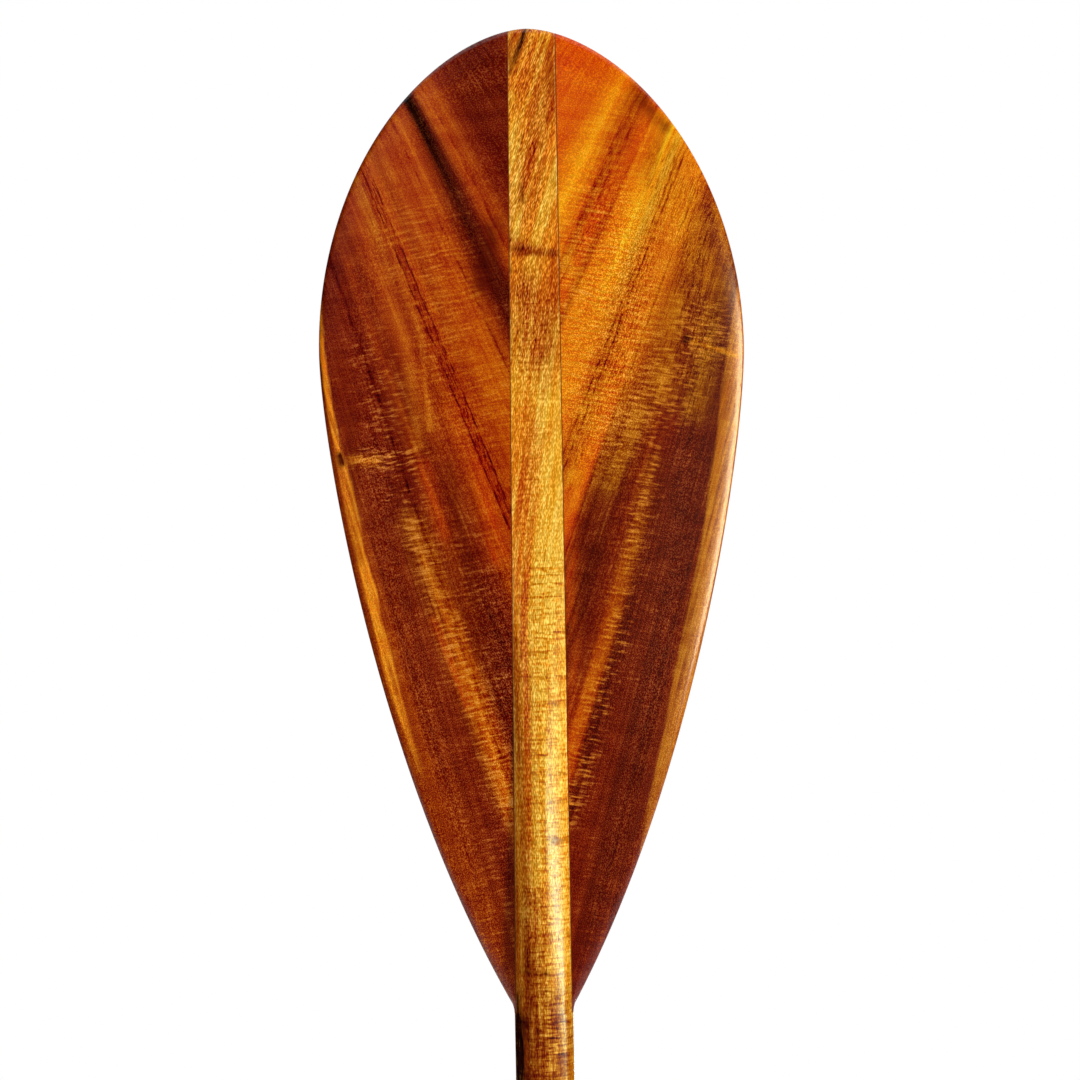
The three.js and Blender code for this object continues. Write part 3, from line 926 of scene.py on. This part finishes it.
def glue_film_rings(side):
    """Rings up one film: a thin upright oblong as deep as the wood beside it, less its sink."""
    height, half, stretch = outline(tip_crossing(side, 0))
    middle = side * np.minimum(cheek(side, height), half)
    depth = half_thickness(height, half, stretch, middle, no_wing) - glue_sink
    depth = np.maximum(depth, 0)
    x = middle[:, None] + glue_half * np.array([1, 1, -1, -1])
    y = depth[:, None] * np.array([-1, 1, 1, -1])
    return np.stack([x, y, height[:, None] + 0 * x], axis=-1)


glue = cured_glue()
for side, node in ((-1, "left_glue_line"), (1, "right_glue_line")):
    film = closed_skin(f"glue_film_{'left' if side < 0 else 'right'}", glue_film_rings(side))
    dress(film, node, glue)


# The grip
# A crosswise handle carved from koa and glued over the dowel: its seat meets the shaft's end, a
# hollow turn leads out to each arm, and the palm side is one long dome.

grip_low, grip_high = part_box("t_grip")
grip_half = grip_high.x
grip_half_depth = grip_high.y
grip_drop = grip_high.z - grip_low.z
grip_arm_drop = 8 * MM
grip_equator_drop = 19 * MM
grip_hollow_reach = 8 * MM
grip_end_rounding = 15 * MM
grip_plan_power = 2 / 3.2
grip_palm_power = 2 / 2.8
grip_bore_depth = 22.3 * MM


def grip_rings(around=160):
    """Rings down the grip. Each blends from the shaft's circle to a rounded oblong: out along a
    quarter turn under the arm, round its end by another, then in over the palm by a
    superellipse."""
    angle = np.linspace(0, 2 * np.pi, around, endpoint=False)
    circle = np.array([np.cos(angle), np.sin(angle)])
    oblong = np.sign(circle) * np.abs(circle) ** grip_plan_power
    plan = oblong * [[grip_half], [grip_half_depth]]
    arm_reach = grip_half - grip_end_radius

    turn = np.linspace(0, np.pi / 2, 24)
    hollow = (grip_hollow_reach / arm_reach * (1 - np.cos(turn)), grip_arm_drop * np.sin(turn))
    shoulder = (
        1 - grip_end_rounding / arm_reach * (1 - np.sin(turn)),
        mix(grip_arm_drop, grip_equator_drop, 1 - np.cos(turn)),
    )
    share = np.concatenate([hollow[0], shoulder[0]])
    drop = np.concatenate([hollow[1], shoulder[1]])
    seat = grip_end_radius * circle
    upper = mix(seat[:, None, :], plan[:, None, :], share[None, :, None])

    turn = np.linspace(0, np.pi / 2, 56)[1:]
    width = np.maximum(np.cos(turn), 0) ** grip_palm_power
    palm = plan[:, None, :] * width[None, :, None]
    palm_drop = mix(grip_equator_drop, grip_drop, np.sin(turn) ** grip_palm_power)

    bore = dowel_bore * circle[:, None, :] * np.ones((1, 2, 1))
    x, y = np.concatenate([bore, upper, palm], axis=1)
    depth = np.concatenate([[grip_bore_depth, 0], drop, palm_drop])
    return np.stack([x, y, grip_high.z - depth[:, None] + 0 * x], axis=-1)


grip = closed_skin("koa_grip", grip_rings())
x, y, z = points_of(grip)
# The grain runs along the grip, bowed down a little at both ends, with curl every 4.2 mm
write_layer(grip, "grain_mm", np.stack([(z + 820) * 0.9 + x ** 2 / 500, y, x], axis=-1))
write_layer(grip, "ripple", x / 4.2)
write_layer(grip, "turn", 0 * x)
write_strokes(grip, x, z, {
    "glow": [(-30, -825, 30, -822, 8, 0.3)],
    "ember": [(20, -812, 40, -815, 8, 0.4)],
    "shade": [(-50, -818, -20, -812, 6, 0.5)],
    "curl": [(-45, -818, 45, -818, 30, 0.7)],
    "speck": [(-45, -818, 45, -818, 30, 0.3)],
    "tick": [(-45, -818, 45, -818, 30, 0.6)],
})
grip_bands = [
    (-30, "copper"), (-14, "brass"), (-8, "russet"), (-2, "copper"), (3, "brass"), (8, "copper"),
    (12, "chestnut"), (18, "copper"), (30, "brass"),
]
koa_grip_wood = {
    **koa_stave_wood,
    "inner_bands": grip_bands,
    "outer_bands": grip_bands,
    "patches": {"glow": "#e0a028", "ember": "#b04a08", "shade": "#581c02"},
    "sway_turns": {"sway": 1.4, "bundles": 0.4},
    "ripple_lines": [(0.1, 0.95, -0.35), (-0.1, -0.9, 0.35)],
    "sheen": "#e8a038",
    "cross_stain": (0.6, 1.0, 0.4),
}
dress(
    grip, "t_grip",
    varnished_koa("Koa grip, carved and sanded, gloss varnish", koa_grip_wood),
)


# The dowel and the grip's glue
# A turned maple dowel joins shaft and grip, hidden in its bores, with a ring of glue around it.

def turned_maple():
    """Plain turned maple: pale, dry and close grained, with streaks 1 mm wide and 17 mm long."""
    material, tree = blank_material("Maple dowel, turned, bare wood")
    place = add(tree, "TexCoord", out="Object")
    stretched = add(tree, "VectorMath", (place, (900, 900, 60)), operation="MULTIPLY")
    grain = add(tree, "TexNoise", {"Vector": stretched, "Scale": 1, "Detail": 4})
    tones = {0: grain, 6: linear("#b08a58"), 7: linear("#dcc194")}
    surface = add(tree, "BsdfPrincipled", {
        "Base Color": add(tree, "Mix", tones, 2, data_type="RGBA"),
        "Roughness": 0.65,
        "Normal": add(tree, "Bump", {"Strength": 0.3, "Distance": 0.1 * MM, "Height": grain}),
    })
    add(tree, "OutputMaterial", (surface,))
    return material


for node, material in (("grip_dowel", turned_maple()), ("grip_glue_line", glue)):
    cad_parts[node].data.materials.clear()
    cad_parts[node].data.materials.append(material)


# The studio
# A plain pale floor that fades into a white room, a sun from well round to the right, which
# rounds the rib and leaves its left edge dark, and weaker, softer suns from the left and behind.
# Black felt hangs all round, out of the camera's sight, so that the varnish stays deep.

room_light = 0.22
blade_middle = Vector((0, 0, 0.26))
floor_gap = 0.5 * MM
floor_radius = 7.0
floor_clear = (1.2, 3.4)
felt_radius = 2.6
felt_height = 3.6


def seen_ray(tree):
    """1 where the camera, a mirror image or a clear material looks, and 0 for bounced light."""
    seen = 0.0
    for ray in ("Is Camera Ray", "Is Glossy Ray", "Is Transmission Ray"):
        seen = add(tree, "Math", (seen, add(tree, "LightPath", out=ray)), operation="MAXIMUM")
    return seen


def white_room():
    """White where the room is seen or mirrored, and a plain soft light everywhere else."""
    world = bpy.data.worlds.new("White room")
    world.use_nodes = True
    tree = world.node_tree
    tree.nodes.clear()
    strength = add(tree, "MapRange", (seen_ray(tree), 0, 1, room_light, 1.0))
    glow = add(tree, "Background", {"Color": (1, 1, 1, 1), "Strength": strength})
    add(tree, "OutputWorld", (glow,))
    return world


def towards(azimuth, elevation):
    """The direction at a compass angle, right from the front, and a height angle, in degrees."""
    a, e = math.radians(azimuth), math.radians(elevation)
    return Vector((math.sin(a) * math.cos(e), -math.cos(a) * math.cos(e), math.sin(e)))


def hang_light(name, kind, place, target, **settings):
    """A lamp at a place, turned to face the target, with its own width level."""
    lamp = bpy.data.lights.new(name, kind)
    for key, value in settings.items():
        setattr(lamp, key, value)
    light = put_in_scene(name, lamp)
    light.location = place
    light.rotation_euler = (place - target).to_track_quat("Z", "Y").to_euler()
    return light


scene.world = white_room()
for name, azimuth, elevation, strength, spread in (
    ("low_sun", 56, 10, 3.3, 10),
    ("left_fill", -18, 15, 0.9, 30),
    ("back_fill", 168, 30, 2.9, 50),
):
    sun = hang_light(
        name, "SUN", blade_middle + 3 * towards(azimuth, elevation), blade_middle,
        energy=strength, angle=math.radians(spread),
    )
    sun.visible_glossy = False

# Each strip of light runs between two points and shows only as a gleam in the varnish. The one
# beside the neck is an ellipse, so that the streak it draws up the rib has pointed ends. The one
# beside the right rim draws its gleam, and the one behind lights the back. The first two fall on
# one piece each, so that no veil of light lies on the pieces beside it.
warm, cool, white = (1, 0.9, 0.56), (0.67, 1, 0.72), (1, 1, 1)
for name, shape, start, end, wide, target, strength, colour, lit in (
    (
        "neck_strip", "ELLIPSE", (0.896, 0.08, -0.13), (0.21, -0.875, 0.16), 0.095,
        (0, 0, 0.03), 4.8, cool, "koa_stave",
    ),
    (
        "rim_strip", "RECTANGLE", (0.465, -0.29, 0.1), (0.465, -0.29, 0.44), 0.5,
        (0.116, 0, 0.3), 9.5, warm, "koa_wing_right",
    ),
    (
        "back_strip", "RECTANGLE", (0.1, 2.3, -0.7), (0.1, 2.3, 0.9), 0.25,
        (0, 0, 0), 22, white, None,
    ),
):
    start, end, target = Vector(start), Vector(end), Vector(target)
    middle = (start + end) / 2
    strip = hang_light(
        name, "AREA", middle, target,
        shape=shape, size=(end - start).length, size_y=wide, energy=strength, color=colour,
    )
    along = (end - start).normalized()
    facing = (middle - target).normalized()
    facing = (facing - facing.dot(along) * along).normalized()
    strip.rotation_euler = Matrix((along, facing.cross(along), facing)).transposed().to_euler()
    strip.visible_diffuse = False
    if lit:
        receivers = bpy.data.collections.new(f"{name}_falls_on")
        receivers.objects.link(bpy.data.objects[lit])
        strip.light_linking.receiver_collection = receivers


def paper_or_felt(name, seen_colour, lit_colour, fades):
    """Seamless paper, nearly white and matt, or black felt, with a faint fibre every 2.5 mm.

    The camera and the varnish see the first colour, and light bounces from the second, so that the
    floor doesn't fill the shadows. The paper fades into the white room further out."""
    material, tree = blank_material(name)
    place = add(tree, "TexCoord", out="Object")
    seen = seen_ray(tree)
    tones = {0: seen, 6: linear(lit_colour), 7: linear(seen_colour)}
    colour = add(tree, "Mix", tones, 2, data_type="RGBA")
    fibre = add(tree, "TexNoise", {"Vector": place, "Scale": 1 / (2.5 * MM), "Detail": 2})
    fibre = add(tree, "MapRange", (fibre, 0, 1, 0.97, 1.0))
    tones = {0: 1.0, 6: colour, 7: fibre}
    colour = add(tree, "Mix", tones, 2, data_type="RGBA", blend_type="MULTIPLY")
    matt = {"Base Color": colour, "Roughness": 0.9, "Specular IOR Level": 0.0}
    surface = add(tree, "BsdfPrincipled", matt)
    if fades:
        distance = add(tree, "VectorMath", (place,), "Value", operation="LENGTH")
        fade = (distance, *floor_clear, 0, seen)
        share = add(tree, "MapRange", fade, interpolation_type="SMOOTHSTEP")
        room = add(tree, "Emission", {"Color": (1, 1, 1, 1), "Strength": 1.0})
        surface = add(tree, "MixShader", (share, surface, room))
    add(tree, "OutputMaterial", (surface,))
    return material


# The floor's rings run inwards, and the felt's run down, so that both face the paddle
angle = np.linspace(0, 2 * np.pi, 96, endpoint=False)
ring = np.stack([np.cos(angle), np.sin(angle), 0 * angle], axis=-1)
radii = floor_radius * np.linspace(1, 0, 24)[:, None, None] ** 1.5
floor_rings = ring * radii + np.array([0, 0, grip_low.z - floor_gap])
floor = put_in_scene("pale_floor", ring_mesh("pale_floor", floor_rings))
floor.data.materials.append(paper_or_felt("Studio paper, rolled, matt", "#f6f5f3", "#a0a0a0", True))

rise = np.linspace(felt_height, 0, 3)[:, None, None] * np.array([0, 0, 1])
felt_rings = ring * felt_radius + rise + np.array([0, 0, grip_low.z])
felt = put_in_scene("black_felt", ring_mesh("black_felt", felt_rings))
felt.data.materials.append(paper_or_felt("Black felt, hung", "#030303", "#030303", False))
felt.visible_camera = False
felt.visible_diffuse = False
felt.visible_transmission = False
felt.visible_shadow = False

# The camera stands level with the middle of the blade, a little to the right of the axis, and is
# rolled by about a degree, so that the tip leans left as in the picture.
camera_distance = 1.8
framed_height = 590.8 * MM
framed_middle = (2.7 * MM, 258.2 * MM)
camera_roll = math.radians(1.09)

camera_data = bpy.data.cameras.new("portrait_camera")
camera_data.sensor_width = 36
camera_data.lens = camera_data.sensor_width * camera_distance / framed_height
camera_data.clip_start = 0.05
camera_data.clip_end = 60
camera = put_in_scene("portrait_camera", camera_data)
camera.location = (framed_middle[0], -camera_distance, framed_middle[1])
camera.rotation_euler = (math.pi / 2, camera_roll, 0)
scene.camera = camera
scene.view_settings.view_transform = "Standard"
